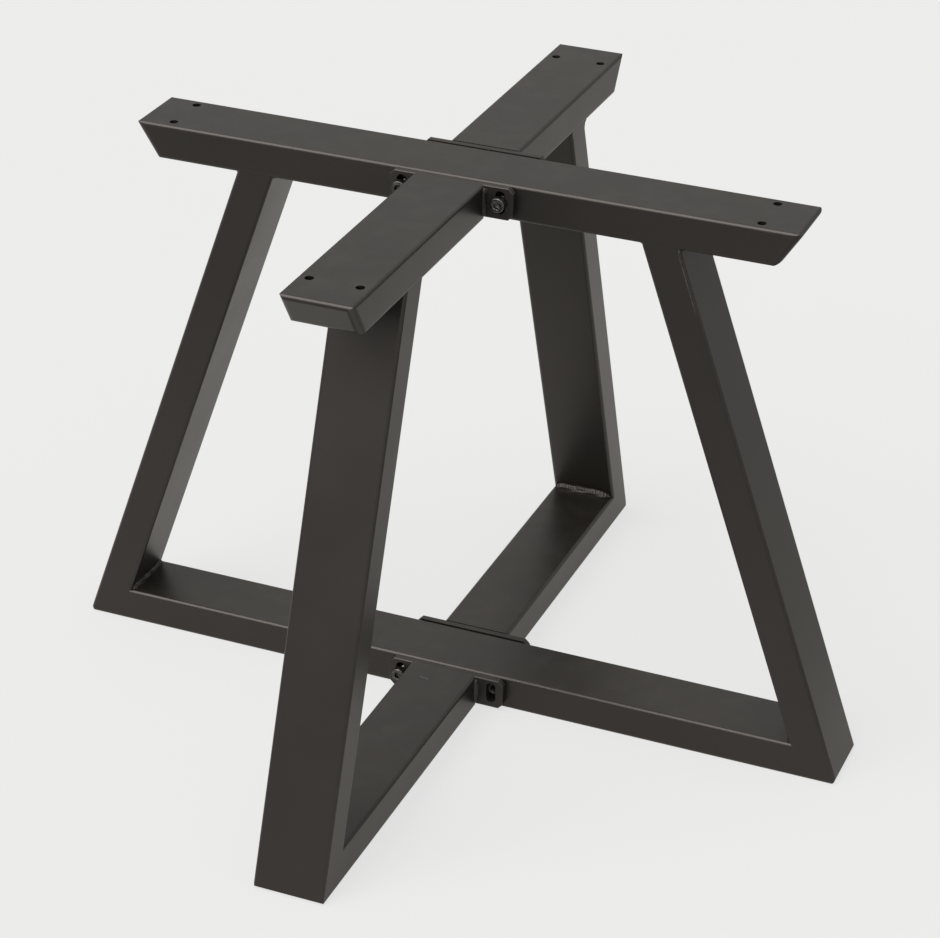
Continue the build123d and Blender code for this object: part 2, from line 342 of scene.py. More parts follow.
def tone_drift():
    """Slow change of tone over the coat, from warm to cool and from dark to pale."""
    inputs = [
        ("Warm", "colour", COAT_COLOUR),
        ("Cool", "colour", COAT_COOL_COLOUR),
        ("Size", "value", DRIFT_SIZE),
        ("Amount", "value", TONE_CHANGE),
    ]
    tree, given, result = effect("tone_drift", inputs, [("Colour", "colour"), ("Cloud", "value")])
    where = place_on_object(tree)
    scale = maths(tree, "DIVIDE", 1.0, given["Size"])
    wide = node(tree, "ShaderNodeTexNoise", {"Vector": where, "Scale": scale, "Detail": 4.0})
    shifted = vector_maths(tree, "ADD", where, (3.0, 5.0, 7.0))
    hue = node(tree, "ShaderNodeTexNoise", {"Vector": shifted, "Scale": scale, "Detail": 1.0})
    base = mix_colour(tree, remap(tree, hue.outputs[0], 0.4, 0.6), given["Warm"], given["Cool"])
    low = maths(tree, "SUBTRACT", 1.0, given["Amount"])
    high = maths(tree, "ADD", 1.0, given["Amount"])
    gain = remap(tree, wide.outputs[0], 0.3, 0.7, low, high)
    grey = node(tree, "ShaderNodeCombineColor", {0: gain, 1: gain, 2: gain}).outputs[0]
    feed(tree, mix_colour(tree, 1.0, base, grey, "MULTIPLY"), result["Colour"])
    feed(tree, wide.outputs[0], result["Cloud"])
    return tree


def tube_corners():
    """Mask along a tube's four long corners, and the surface direction softened round them."""
    inputs = [
        ("Middle", "vector", (0, 0, 0)),
        ("Across", "vector", (0, 1, 0)),
        ("Through", "vector", (0, 0, 1)),
        ("Half Width", "value", 25 * mm),
        ("Half Depth", "value", 12.5 * mm),
        ("Reach", "value", THIN_REACH),
        ("Softness", "value", CORNER_SOFTNESS),
    ]
    outputs = [("Mask", "value"), ("Normal", "vector")]
    tree, given, result = effect("tube_corners", inputs, outputs)
    where = vector_maths(tree, "SUBTRACT", place_on_object(tree), given["Middle"])
    gaps = []
    turns = []
    for direction, half in (("Across", "Half Width"), ("Through", "Half Depth")):
        along = vector_maths(tree, "DOT_PRODUCT", where, given[direction], "Value")
        gap = maths(tree, "SUBTRACT", given[half], maths(tree, "ABSOLUTE", along))
        gaps.append(gap)
        inside = maths(tree, "MAXIMUM", maths(tree, "SUBTRACT", given["Softness"], gap), 0.0)
        signed = maths(tree, "MULTIPLY", inside, maths(tree, "SIGN", along))
        turns.append(vector_maths(tree, "MULTIPLY", given[direction], signed))
    soft = vector_maths(tree, "NORMALIZE", vector_maths(tree, "ADD", *turns), (0, 0, 0))
    flat = node(tree, "ShaderNodeNewGeometry").outputs["Normal"]
    # A face that looks another way, such as the wall of a hole, keeps its own direction
    agreeing = remap(tree, vector_maths(tree, "DOT_PRODUCT", soft, flat, "Value"), 0.5, 0.66)
    change = vector_maths(tree, "MULTIPLY", vector_maths(tree, "SUBTRACT", soft, flat), agreeing)
    feed(tree, vector_maths(tree, "ADD", flat, change), result["Normal"])
    gap = maths(tree, "MAXIMUM", *gaps)
    ragged = maths(tree, "MULTIPLY", noise_value(tree, THIN_RAGGED_SIZE), given["Reach"])
    near = maths(tree, "DIVIDE", maths(tree, "ADD", gap, ragged), given["Reach"])
    feed(tree, remap(tree, near, 0.4, 1.3, 1.0, 0.0), result["Mask"])
    return tree


def rounded_edges():
    """Mask where two faces of a plate meet."""
    inputs = [("Reach", "value", PLATE_EDGE_REACH)]
    tree, given, result = effect("rounded_edges", inputs, [("Mask", "value")])
    soft = node(tree, "ShaderNodeBevel", {"Radius": given["Reach"]}, samples=6)
    flat = node(tree, "ShaderNodeNewGeometry").outputs["Normal"]
    same = vector_maths(tree, "DOT_PRODUCT", soft.outputs[0], flat, "Value")
    feed(tree, remap(tree, same, 0.80, 0.995, 1.0, 0.0), result["Mask"])
    return tree


def scuff_mark():
    """Mask of one short rubbed mark: its middle, the way it runs, how long and how wide."""
    inputs = [
        ("Middle", "vector", (0, 0, 0)),
        ("Along", "vector", (1, 0, 0)),
        ("Length", "value", 5 * mm),
        ("Width", "value", 0.8 * mm),
    ]
    tree, given, result = effect("scuff_mark", inputs, [("Mask", "value")])
    where = place_on_object(tree)
    offset = vector_maths(tree, "SUBTRACT", where, given["Middle"])
    along = vector_maths(tree, "DOT_PRODUCT", offset, given["Along"], "Value")
    whole = vector_maths(tree, "LENGTH", offset, (0, 0, 0), "Value")
    square = maths(tree, "SUBTRACT", maths(tree, "POWER", whole, 2.0), maths(tree, "POWER", along, 2.0))
    aside = maths(tree, "SQRT", maths(tree, "MAXIMUM", square, 0.0))
    half_length = maths(tree, "MULTIPLY", given["Length"], 0.5)
    half_width = maths(tree, "MULTIPLY", given["Width"], 0.5)
    reach = maths(tree, "DIVIDE", maths(tree, "ABSOLUTE", along), half_length)
    spread = maths(tree, "DIVIDE", aside, half_width)
    within_length = remap(tree, reach, 0.7, 1.0, 1.0, 0.0)
    within_width = remap(tree, spread, 0.5, 1.0, 1.0, 0.0)
    inside = maths(tree, "MULTIPLY", within_length, within_width)
    ragged = remap(tree, noise_value(tree, SCUFF_RAGGED_SIZE, 4.0), 0.38, 0.55)
    feed(tree, maths(tree, "MULTIPLY", inside, ragged), result["Mask"])
    return tree


def settled_dust():
    """Mask of faint dust on faces that look up."""
    inputs = [("Size", "value", DUST_SIZE)]
    tree, given, result = effect("settled_dust", inputs, [("Mask", "value")])
    facing = node(tree, "ShaderNodeNewGeometry").outputs["Normal"]
    height = node(tree, "ShaderNodeSeparateXYZ", {0: facing}).outputs["Z"]
    scale = maths(tree, "DIVIDE", 1.0, given["Size"])
    patch = node(
        tree,
        "ShaderNodeTexNoise",
        {"Vector": place_on_object(tree), "Scale": scale, "Detail": 6.0, "Roughness": 0.65},
    )
    upward = remap(tree, height, 0.6, 1.0)
    feed(tree, maths(tree, "MULTIPLY", upward, remap(tree, patch.outputs[0], 0.4, 0.75)), result["Mask"])
    return tree


effects = {
    "powder_grain": powder_grain(),
    "tone_drift": tone_drift(),
    "tube_corners": tube_corners(),
    "rounded_edges": rounded_edges(),
    "scuff_mark": scuff_mark(),
    "settled_dust": settled_dust(),
}


def new_material(name):
    """Empty material with its surface shader."""
    material = bpy.data.materials.new(name)
    material.use_nodes = True
    tree = material.node_tree
    tree.nodes.clear()
    shader = tree.nodes.new("ShaderNodeBsdfPrincipled")
    output = tree.nodes.new("ShaderNodeOutputMaterial")
    tree.links.new(shader.outputs[0], output.inputs["Surface"])
    return material, tree, shader


def coat_material(name, edges, roughness=COAT_ROUGHNESS, grain_height=GRAIN_HEIGHT, scuffs=()):
    """Powder coat; edges(tree) gives where it pulls thin and its direction, scuffs its rubbed marks."""
    material, tree, shader = new_material(name)
    grain = use_effect(tree, effects["powder_grain"])
    drift = use_effect(tree, effects["tone_drift"])
    dust = use_effect(tree, effects["settled_dust"])["Mask"]
    edge, direction = edges(tree)
    thin = maths(tree, "MULTIPLY", edge, THIN_SHARE)
    fleck = maths(tree, "MULTIPLY", grain["Fleck"], FLECK_SHARE)
    colour = mix_colour(tree, thin, drift["Colour"], COAT_THIN_COLOUR)
    colour = mix_colour(tree, fleck, colour, COAT_THIN_COLOUR)
    colour = mix_colour(tree, maths(tree, "MULTIPLY", dust, DUST_SHARE), colour, DUST_COLOUR)
    for middle, along, length, width in scuffs:
        scuff = use_effect(
            tree, effects["scuff_mark"], Middle=middle, Along=along, Length=length, Width=width
        )["Mask"]
        colour = mix_colour(tree, scuff, colour, SCUFF_COLOUR)
    feed(tree, colour, shader.inputs["Base Color"])
    rough = maths(tree, "MULTIPLY_ADD", drift["Cloud"], ROUGHNESS_CHANGE)
    rough.node.inputs[2].default_value = roughness - ROUGHNESS_CHANGE / 2
    feed(tree, rough, shader.inputs["Roughness"])
    shader.inputs["Specular Tint"].default_value = COAT_SHEEN_COLOUR
    inputs = {"Height": grain["Height"], "Distance": grain_height, "Strength": GRAIN_STRENGTH}
    bump = node(tree, "ShaderNodeBump", inputs)
    if direction is not None:
        feed(tree, direction, bump.inputs["Normal"])
    feed(tree, bump.outputs[0], shader.inputs["Normal"])
    return material


def steel_material(name, colour, roughness, rubbed):
    """Plated steel with a little grime, and edges rubbed as many times brighter as asked."""
    material, tree, shader = new_material(name)
    grime = noise_value(tree, GRIME_SIZE, 4.0)
    edge = use_effect(tree, effects["rounded_edges"], Reach=STEEL_EDGE_REACH)["Mask"]
    dark = tuple(GRIME_SHADE * part for part in colour[:3]) + (1,)
    bright = tuple(min(1.0, rubbed * part) for part in colour[:3]) + (1,)
    mixed = mix_colour(tree, remap(tree, grime, 0.35, 0.65), dark, colour)
    feed(tree, mix_colour(tree, edge, mixed, bright), shader.inputs["Base Color"])
    shader.inputs["Metallic"].default_value = 1.0
    smoothest = roughness - GRIME_ROUGHNESS
    roughest = roughness + GRIME_ROUGHNESS
    feed(tree, remap(tree, grime, 0.3, 0.7, smoothest, roughest), shader.inputs["Roughness"])
    inputs = {"Height": noise_value(tree, STREAK_SIZE, 2.0), "Distance": STREAK_HEIGHT}
    bump = node(tree, "ShaderNodeBump", inputs)
    bump.inputs["Strength"].default_value = STREAK_STRENGTH
    feed(tree, bump.outputs[0], shader.inputs["Normal"])
    return material


# Measures read from the frame

rail_low, rail_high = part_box("long_top_rail")
floor_rail_low, floor_rail_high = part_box("long_bottom_rail")
tube_depth = floor_rail_high.z - floor_rail_low.z
tube_width = rail_high.y - rail_low.y
underside = rail_high.z - tube_depth
upper_middle = rail_high.z - tube_depth / 2
lower_middle = tube_depth / 2


def side_of(out):
    """Direction across a frame that runs out from the middle."""
    return UP.cross(out)


def outer_face(name, out):
    """Slope and distance of a leg's outer face: the direction it looks, and how far out it is."""
    widest = max(
        (face for face in nodes[name].data.polygons if face.normal.dot(out) > 0.5),
        key=lambda face: face.area,
    )
    return widest.normal.copy(), widest.normal.dot(widest.center)


leg_slope, leg_face = outer_face("long_right_leg", RIGHT)
lean = math.atan2(leg_slope.z, leg_slope.x)
frame_sides = (("long_right_leg", RIGHT), ("long_left_leg", LEFT), ("front_leg", FRONT), ("rear_leg", REAR))


def leg_reach(depth, height):
    """How far out a leg's face is, at a depth under its outer face and a height."""
    return (leg_face - depth - height * math.sin(lean)) / math.cos(lean)


def place(out, reach, height, aside=0.0):
    """Point out from the middle, up from the floor and aside."""
    return out * reach + UP * height + side_of(out) * aside


# Rubbed marks on the coat, by node: middle, the way each runs, length and width
down_the_right_leg = RIGHT * math.sin(lean) - UP * math.cos(lean)
RUBBED_MARKS = {
    "front_bottom_rail": [
        (Vector((-8.3 * mm, -47.8 * mm, tube_depth)), Vector((0.99, -0.12, 0)), 8 * mm, 1.5 * mm),
    ],
    "long_right_leg": [
        (Vector((158.0 * mm, rail_low.y, 377.5 * mm)), UP, 4 * mm, 1.2 * mm),
        (Vector((165.0 * mm, rail_low.y, 355.0 * mm)), down_the_right_leg, 46 * mm, 0.6 * mm),
    ],
}


# Materials

def tube_edges(middle, across, through):
    """Maker of the corner mask and softened direction of one tube."""
    def edges(tree):
        made = use_effect(
            tree,
            effects["tube_corners"],
            Middle=middle,
            Across=across,
            Through=through,
            Half_Width=tube_width / 2,
            Half_Depth=tube_depth / 2,
        )
        return made["Mask"], made["Normal"]
    return edges


def plate_edges(tree):
    """Edge mask for plates, caps and welds, which keep their own direction."""
    return use_effect(tree, effects["rounded_edges"], Reach=PLATE_EDGE_REACH)["Mask"], None


def dress(name, material):
    """Give a CAD node its finish."""
    slots = nodes[name].data.materials
    slots.clear()
    slots.append(material)


for height, rails in (
    (upper_middle, ("long_top_rail", "front_top_rail", "rear_top_rail")),
    (lower_middle, ("long_bottom_rail", "front_bottom_rail", "rear_bottom_rail")),
):
    for name in rails:
        across = REAR if name.startswith("long") else RIGHT
        edges = tube_edges(UP * height, across, UP)
        dress(name, coat_material("coat_" + name, edges, scuffs=RUBBED_MARKS.get(name, ())))
for name, out in frame_sides:
    through = out * math.cos(lean) + UP * math.sin(lean)
    middle = place(out, leg_reach(tube_depth / 2, 0.0), 0.0)
    edges = tube_edges(middle, side_of(out), through)
    dress(name, coat_material("coat_" + name, edges, scuffs=RUBBED_MARKS.get(name, ())))

cap_coat = coat_material("cap_coat", plate_edges)
plate_coat = coat_material("plate_coat", plate_edges, PLATE_ROUGHNESS)
weld_coat = coat_material("weld_coat", plate_edges, COAT_ROUGHNESS, WELD_GRAIN_HEIGHT)
screw_steel = steel_material("screw_steel", SCREW_COLOUR, SCREW_ROUGHNESS, SCREW_RUBBED)
# The inserts' near-black colour is painted shade of the slots they sit in
insert_steel = steel_material("insert_steel", INSERT_SHADED_COLOUR, INSERT_ROUGHNESS, INSERT_RUBBED)

for name in ("long_left_end_cap", "long_right_end_cap", "front_end_cap", "rear_end_cap"):
    dress(name, cap_coat)
for side in ("front", "rear"):
    for level in ("upper", "lower"):
        dress(side + "_" + level + "_plate", plate_coat)


# Meshes from rings of points

def ring_faces(count, sides, start=0):
    """Quads between neighbouring rings that start at a vertex number."""
    faces = []
    for row in range(count - 1):
        for column in range(sides):
            following = (column + 1) % sides
            low = start + row * sides
            high = low + sides
            faces.append((low + column, low + following, high + following, high + column))
    return faces


class Skin:
    """Closed skins gathered into one mesh."""

    def __init__(self):
        self.points = []
        self.faces = []

    def add(self, rings, capped=True, looped=False, flip=False):
        """Skin a list of closed rings; capped closes both ends, looped joins the last to the first."""
        start = len(self.points)
        sides = len(rings[0])
        for ring in rings:
            self.points.extend(ring)
        made = ring_faces(len(rings), sides, start)
        if capped:
            made.append(tuple(start + column for column in reversed(range(sides))))
            last = start + (len(rings) - 1) * sides
            made.append(tuple(last + column for column in range(sides)))
        if looped:
            last = start + (len(rings) - 1) * sides
            for column in range(sides):
                following = (column + 1) % sides
                made.append((last + column, last + following, start + following, start + column))
        if flip:
            made = [tuple(reversed(face)) for face in made]
        self.faces.extend(made)

    def piece(self, name, material, slot, sharp=BEAD_SHARP_ANGLE):
        """Make the object, riding on the base."""
        mesh = bpy.data.meshes.new(name)
        mesh.from_pydata([tuple(point) for point in self.points], [], self.faces)
        mesh.validate()
        mesh.polygons.foreach_set("use_smooth", [True] * len(mesh.polygons))
        mesh.set_sharp_from_angle(angle=sharp)
        mesh.materials.append(material)
        made = bpy.data.objects.new(name, mesh)
        bpy.context.scene.collection.objects.link(made)
        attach(made, "root")
        return made


# Weld beads

def add_bead(skin, start, end, first, second, leg, seed, crown=BEAD_CROWN, taper=BEAD_TAPER):
    """Ragged bead along a corner, between the faces that run off along first and second."""
    rolls = random.Random(seed)
    shift = Vector((rolls.uniform(0, 50), rolls.uniform(0, 50), rolls.uniform(0, 50)))
    length = (end - start).length
    along = (end - start) / length
    steps = max(8, int(length / BEAD_STEP))
    outward = (first + second).normalized()
    rings = []
    for step in range(steps + 1):
        travelled = length * step / steps
        ending = min(1.0, min(travelled, length - travelled) / (taper * leg))
        swell = math.sqrt(max(BEAD_END_SWELL, 1.0 - (1.0 - ending) ** 2))
        ring = []
        for side in range(BEAD_SIDES):
            share = side / (BEAD_SIDES - 1)
            bow = math.sin(math.pi * share)
            lagging = travelled + BEAD_LAG * leg * bow
            spot = Vector((lagging / (WANDER_LENGTH * leg), 3 * share, 0)) + shift
            wander = noise.noise(spot)
            ripple = math.sin(2 * math.pi * lagging / RIPPLE_LENGTH + 2.0 * wander)
            size = leg * swell * (1.0 + BEAD_WANDER * wander)
            first_wander = noise.noise(Vector((travelled / leg, 7, 0)) + shift)
            second_wander = noise.noise(Vector((travelled / leg, 19, 0)) + shift)
            toe_one = first * size * (1 + TOE_WANDER * first_wander)
            toe_two = second * size * (1 + TOE_WANDER * second_wander)
            flat = toe_one.lerp(toe_two, share)
            rise = bow * size * (crown + RIPPLE_HEIGHT * ripple)
            ring.append(start + along * travelled + flat + outward * rise)
        buried = outward * -BEAD_SINK
        ring.append(start + along * travelled + second * BEAD_ROOT * leg * swell + buried)
        ring.append(start + along * travelled + buried)
        ring.append(start + along * travelled + first * BEAD_ROOT * leg * swell + buried)
        rings.append(ring)
    turns_right = first.cross(second).dot(along) < 0
    skin.add(rings, flip=turns_right)


def add_leg_beads(skin, out, seed):
    """Beads inside a leg's foot and on both sides of its head."""
    flat = tube_width / 2 - BEAD_STOP
    down_the_leg = out * math.sin(lean) - UP * math.cos(lean)
    corners = (
        (leg_reach(tube_depth, tube_depth), tube_depth, -out, -down_the_leg),
        (leg_reach(0, underside), underside, out, down_the_leg),
        (leg_reach(tube_depth, underside), underside, -out, down_the_leg),
    )
    foot = (FOOT_BEAD_LEG, BEAD_CROWN, BEAD_TAPER, flat)
    inner_head = (HEAD_BEAD_LEG, BEAD_CROWN, BEAD_TAPER, flat)
    outer_head = inner_head
    if out == REAR:
        foot = (REAR_FOOT_BEAD_LEG, BEAD_CROWN, BEAD_TAPER, flat)
        nearly_full = tube_width / 2 - REAR_HEAD_FILLET_STOP
        outer_head = (
            REAR_HEAD_FILLET_LEG,
            REAR_HEAD_FILLET_CROWN,
            REAR_HEAD_FILLET_TAPER,
            nearly_full,
        )
    beads = (foot, outer_head, inner_head)
    for number, (corner, (leg, crown, taper, reach_aside)) in enumerate(zip(corners, beads)):
        reach, height, first, second = corner
        start = place(out, reach, height, -reach_aside)
        end = place(out, reach, height, reach_aside)
        add_bead(skin, start, end, first, second, leg, seed + number, crown, taper)


def add_plate_beads(skin, out, seed):
    """Beads beside a half frame's two joint plates."""
    prefix = "front" if out == FRONT else "rear"
    for number, level in enumerate(("lower", "upper")):
        low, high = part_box(prefix + "_" + level + "_plate")
        face = max(low.dot(out), high.dot(out))
        for turn in (-1, 1):
            aside = turn * tube_width / 2
            start = place(out, face, low.z + PLATE_BEAD_LOW_STOP, aside)
            end = place(out, face, high.z - PLATE_BEAD_HIGH_STOP, aside)
            first = side_of(out) * turn
            bead_seed = seed + PLATE_SEED_STEP + 3 * number + turn
            add_bead(skin, start, end, first, out, PLATE_BEAD_LEG, bead_seed)


long_beads = Skin()
add_leg_beads(long_beads, LEFT, LEFT_LEG_SEED)
add_leg_beads(long_beads, RIGHT, RIGHT_LEG_SEED)
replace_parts(long_beads.piece("long_frame_beads", weld_coat, "weld_coat"), "long_frame_welds")
for prefix, out, seed in (("front", FRONT, FRONT_HALF_SEED), ("rear", REAR, REAR_HALF_SEED)):
    half_beads = Skin()
    add_leg_beads(half_beads, out, seed)
    add_plate_beads(half_beads, out, seed)
    beads = half_beads.piece(prefix + "_half_beads", weld_coat, "weld_coat")
    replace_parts(beads, prefix + "_half_welds")


# Screws

def turned_ring(centre, axis, across, radius, sides, wave=None):
    """Ring of points round an axis; wave(angle) changes the radius."""
    up = axis.cross(across)
    ring = []
    for number in range(sides):
        angle = 2 * math.pi * number / sides
        reach = radius + (wave(angle) if wave else 0.0)
        ring.append(centre + across * reach * math.cos(angle) + up * reach * math.sin(angle))
    return ring


def hexagon_ring(centre, axis, across, flats, sides, turn):
    """Ring of points on a hexagon, as many as the head's ring has."""
    up = axis.cross(across)
    ring = []
    for number in range(sides):
        angle = 2 * math.pi * number / sides
        sector = (angle - turn) % (math.pi / 3) - math.pi / 6
        reach = flats / 2 / math.cos(sector)
        ring.append(centre + across * reach * math.cos(angle) + up * reach * math.sin(angle))
    return ring


def add_screw(skin, seat, out, head_radius, head_height, shank_radius, shank_length, turn):
    """Socket head screw with a knurled head and a threaded shank."""
    across = side_of(out)
    sides = KNURL_TEETH * 2

    def knurl(angle):
        return -KNURL_DEPTH * (0.5 + 0.5 * math.cos(KNURL_TEETH * angle))

    rings = [turned_ring(seat, out, across, head_radius - HEAD_FOOT_INSET, sides)]
    shoulder = seat + out * HEAD_FOOT_RISE
    rings.append(turned_ring(shoulder, out, across, head_radius - HEAD_FOOT_SHOULDER, sides))
    for share in (KNURL_START, KNURL_END):
        rings.append(turned_ring(seat + out * head_height * share, out, across, head_radius, sides, knurl))
    plain_band = seat + out * head_height * PLAIN_BAND_START
    rings.append(turned_ring(plain_band, out, across, head_radius - PLAIN_BAND_INSET, sides))
    for angle in (0, 22.5, 45, 67.5, 90):
        bend = math.radians(angle)
        centre = seat + out * (head_height - HEAD_EDGE + HEAD_EDGE * math.sin(bend))
        reach = head_radius - HEAD_EDGE + HEAD_EDGE * math.cos(bend)
        rings.append(turned_ring(centre, out, across, reach, sides))
    top = seat + out * head_height
    rings.append(turned_ring(top, out, across, SOCKET_SIZE / 2 + SOCKET_RIM, sides))
    rings.append(hexagon_ring(top - out * SOCKET_LEAD, out, across, SOCKET_SIZE, sides, turn))
    rings.append(hexagon_ring(top - out * SOCKET_DEPTH, out, across, SOCKET_SIZE, sides, turn))
    rings.append(turned_ring(top - out * (SOCKET_DEPTH + DRILL_POINT), out, across, DRILL_RADIUS, sides))
    skin.add(rings)
    add_thread(skin, seat, out, shank_radius, shank_length)


def add_thread(skin, seat, out, radius, length):
    """Threaded shank down from a screw's head."""
    across = side_of(out)
    rows = int(length / THREAD_PITCH * THREAD_ROWS)
    rings = []
    for row in range(rows + 1):
        depth = length * row / rows

        def spiral(angle, depth=depth):
            phase = (depth / THREAD_PITCH + angle / (2 * math.pi)) % 1.0
            tip = min(1.0, (length - depth) / THREAD_PITCH)
            groove = THREAD_HEIGHT * abs(2 * phase - 1) if depth > 0 else 0.0
            return -groove - THREAD_POINT * (1 - tip)

        rings.append(turned_ring(seat - out * depth, out, across, radius, THREAD_SIDES, spiral))
    skin.add(rings, flip=True)


def fastener_spots(name, out):
    """Places of one side's fasteners in a CAD node: how high and how far aside, with the radius there."""
    side = side_of(out)
    middle_height = rail_high.z / 2
    spots = []
    for high_up in (True, False):
        for turn in (-1, 1):
            points = [
                vertex.co
                for vertex in nodes[name].data.vertices
                if (vertex.co.z > middle_height) == high_up
                and vertex.co.dot(side) * turn > 0
                and vertex.co.dot(out) > 0
            ]
            if points:
                lowest = min(point.z for point in points)
                highest = max(point.z for point in points)
                asides = [point.dot(side) for point in points]
                aside = (min(asides) + max(asides)) / 2
                spots.append(((lowest + highest) / 2, aside, (highest - lowest) / 2))
    return spots


def add_screws_of(name, out, plate, turns):
    """Screws of one half frame, made where the frame has them."""
    low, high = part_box(name)
    ends = sorted((low.dot(out), high.dot(out)))
    plate_low, plate_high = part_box(plate)
    seat = max(plate_low.dot(out), plate_high.dot(out))
    skin = Skin()
    for (height, aside, head_radius), turn in zip(fastener_spots(name, out), turns):
        add_screw(
            skin,
            place(out, seat, height, aside),
            out,
            head_radius,
            ends[1] - seat,
            THREAD_RADIUS,
            seat - ends[0],
            math.radians(turn),
        )
    piece = skin.piece(name + "_detailed", screw_steel, "screw_steel", FASTENER_SHARP_ANGLE)
    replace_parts(piece, name)


add_screws_of("front_screws", FRONT, "front_upper_plate", FRONT_SCREW_TURNS)
add_screws_of("rear_screws", REAR, "rear_upper_plate", REAR_SCREW_TURNS)


# Threaded inserts

def add_insert(skin, wall, out, flange_radius, flange, depth):
    """Insert: round flange, hexagon body crimped behind the wall, threaded bore."""
    across = side_of(out)

    def turned(reach, radius, wave=None):
        return turned_ring(wall + out * reach, out, across, radius, INSERT_SIDES, wave)

    def hexagon(reach, flats):
        return hexagon_ring(wall + out * reach, out, across, flats, INSERT_SIDES, 0.0)

    rings = [
        turned(flange, THREAD_RADIUS + INSERT_LEAD),
        turned(flange, flange_radius - FLANGE_EDGE),
        turned(flange - 0.3 * FLANGE_EDGE, flange_radius - 0.3 * FLANGE_EDGE),
        turned(flange - FLANGE_EDGE, flange_radius),
        turned(0.0, flange_radius),
        hexagon(0.0, INSERT_FLATS),
    ]
    for along, fullness in ((0, 0), (0.2, 2 / 3), (0.5, 1), (0.8, 2 / 3), (1, 0)):
        reach = -CRIMP_START - CRIMP_LENGTH * along
        rings.append(hexagon(reach, INSERT_FLATS + CRIMP_BULGE * fullness))
    rings.append(hexagon(-depth, INSERT_FLATS))
    rows = int((flange + depth) / THREAD_PITCH * THREAD_ROWS)
    for row in range(rows + 1):
        reach = -depth + (flange + depth - INSERT_LEAD) * row / rows

        def spiral(angle, reach=reach):
            phase = (reach / THREAD_PITCH + angle / (2 * math.pi)) % 1.0
            return -THREAD_HEIGHT * (1 - abs(2 * phase - 1))

        rings.append(turned(reach, THREAD_RADIUS, spiral))
    skin.add(rings, capped=False, looped=True, flip=True)


def add_inserts():
    """All eight inserts, made where the frame has them."""
    low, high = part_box("threaded_inserts")
    flange = high.y - rail_high.y
    inner_end = min(abs(vertex.co.y) for vertex in nodes["threaded_inserts"].data.vertices)
    skin = Skin()
    for out in (FRONT, REAR):
        for height, aside, radius in fastener_spots("threaded_inserts", out):
            wall = place(out, tube_width / 2, height, aside)
            add_insert(skin, wall, out, radius, flange, tube_width / 2 - inner_end)
    piece = skin.piece("inserts_detailed", insert_steel, "insert_steel", FASTENER_SHARP_ANGLE)
    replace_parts(piece, "threaded_inserts")


add_inserts()


# Studio

def add_floor():
    """Pale paper floor: seen white, shaded by the base, and mirrored soft as a painted reflection: a glow
    that only reflections see, with painted shade towards the front and right and painted light to the rear.
    """
    mesh = bpy.data.meshes.new("studio_floor")
    corners = ((-1, -1), (1, -1), (1, 1), (-1, 1))
    points = [(FLOOR_REACH * x, FLOOR_REACH * y, 0) for x, y in corners]
    mesh.from_pydata(points, [], [(0, 1, 2, 3)])
    material, tree, shader = new_material("studio_paper")
    cloud = noise_value(tree, FLOOR_CLOUD)
    tone = remap(tree, cloud, 0.3, 0.7, 1 - FLOOR_UNEVENNESS, 1 + FLOOR_UNEVENNESS)
    grey = node(tree, "ShaderNodeCombineColor", {0: tone, 1: tone, 2: tone}).outputs[0]
    colour = mix_colour(tree, 1.0, FLOOR_COLOUR, grey, "MULTIPLY")
    feed(tree, colour, shader.inputs["Base Color"])
    shader.inputs["Roughness"].default_value = FLOOR_ROUGHNESS
    shader.inputs["Specular IOR Level"].default_value = 0.0
    seen = node(tree, "ShaderNodeEmission", {"Color": FLOOR_SEEN_COLOUR, "Strength": 1.0})
    spot = node(tree, "ShaderNodeSeparateXYZ", {0: place_on_object(tree)}).outputs
    # Painted shade towards the front and the right, and painted light to the rear, in the painted reflection
    fading = remap(tree, spot["Y"], FLOOR_FRONT_END, FLOOR_FRONT_START, FLOOR_FRONT_SHARE, 1.0)
    sideways = remap(
        tree, spot["X"], FLOOR_RIGHT_START, FLOOR_RIGHT_END, FLOOR_LEFT_SHARE, FLOOR_RIGHT_SHARE
    )
    rearwards = remap(tree, spot["Y"], FLOOR_REAR_START, FLOOR_REAR_END, 1.0, FLOOR_REAR_SHARE)
    strength = maths(tree, "MULTIPLY", maths(tree, "MULTIPLY", fading, sideways), rearwards)
    # The painted reflection: a glow mixed into what glossy and transmission rays see
    painted_reflection = node(tree, "ShaderNodeEmission", {"Color": FLOOR_PAINTED_REFLECTION_COLOUR, "Strength": strength})
    ray = node(tree, "ShaderNodeLightPath")
    seen_share = maths(tree, "MULTIPLY", ray.outputs["Is Camera Ray"], FLOOR_SEEN_SHARE)
    lit = node(tree, "ShaderNodeMixShader", {0: seen_share, 1: shader.outputs[0], 2: seen.outputs[0]})
    bounce = maths(tree, "MAXIMUM", ray.outputs["Is Glossy Ray"], ray.outputs["Is Transmission Ray"])
    painted_reflection_share = maths(tree, "MULTIPLY", bounce, FLOOR_PAINTED_REFLECTION_SHARE)
    whole = node(tree, "ShaderNodeMixShader", {0: painted_reflection_share, 1: lit.outputs[0], 2: painted_reflection.outputs[0]})
    output = next(made for made in tree.nodes if made.type == "OUTPUT_MATERIAL")
    feed(tree, whole.outputs[0], output.inputs["Surface"])
    mesh.materials.append(material)
    floor = bpy.data.objects.new("studio_floor", mesh)
    bpy.context.scene.collection.objects.link(floor)


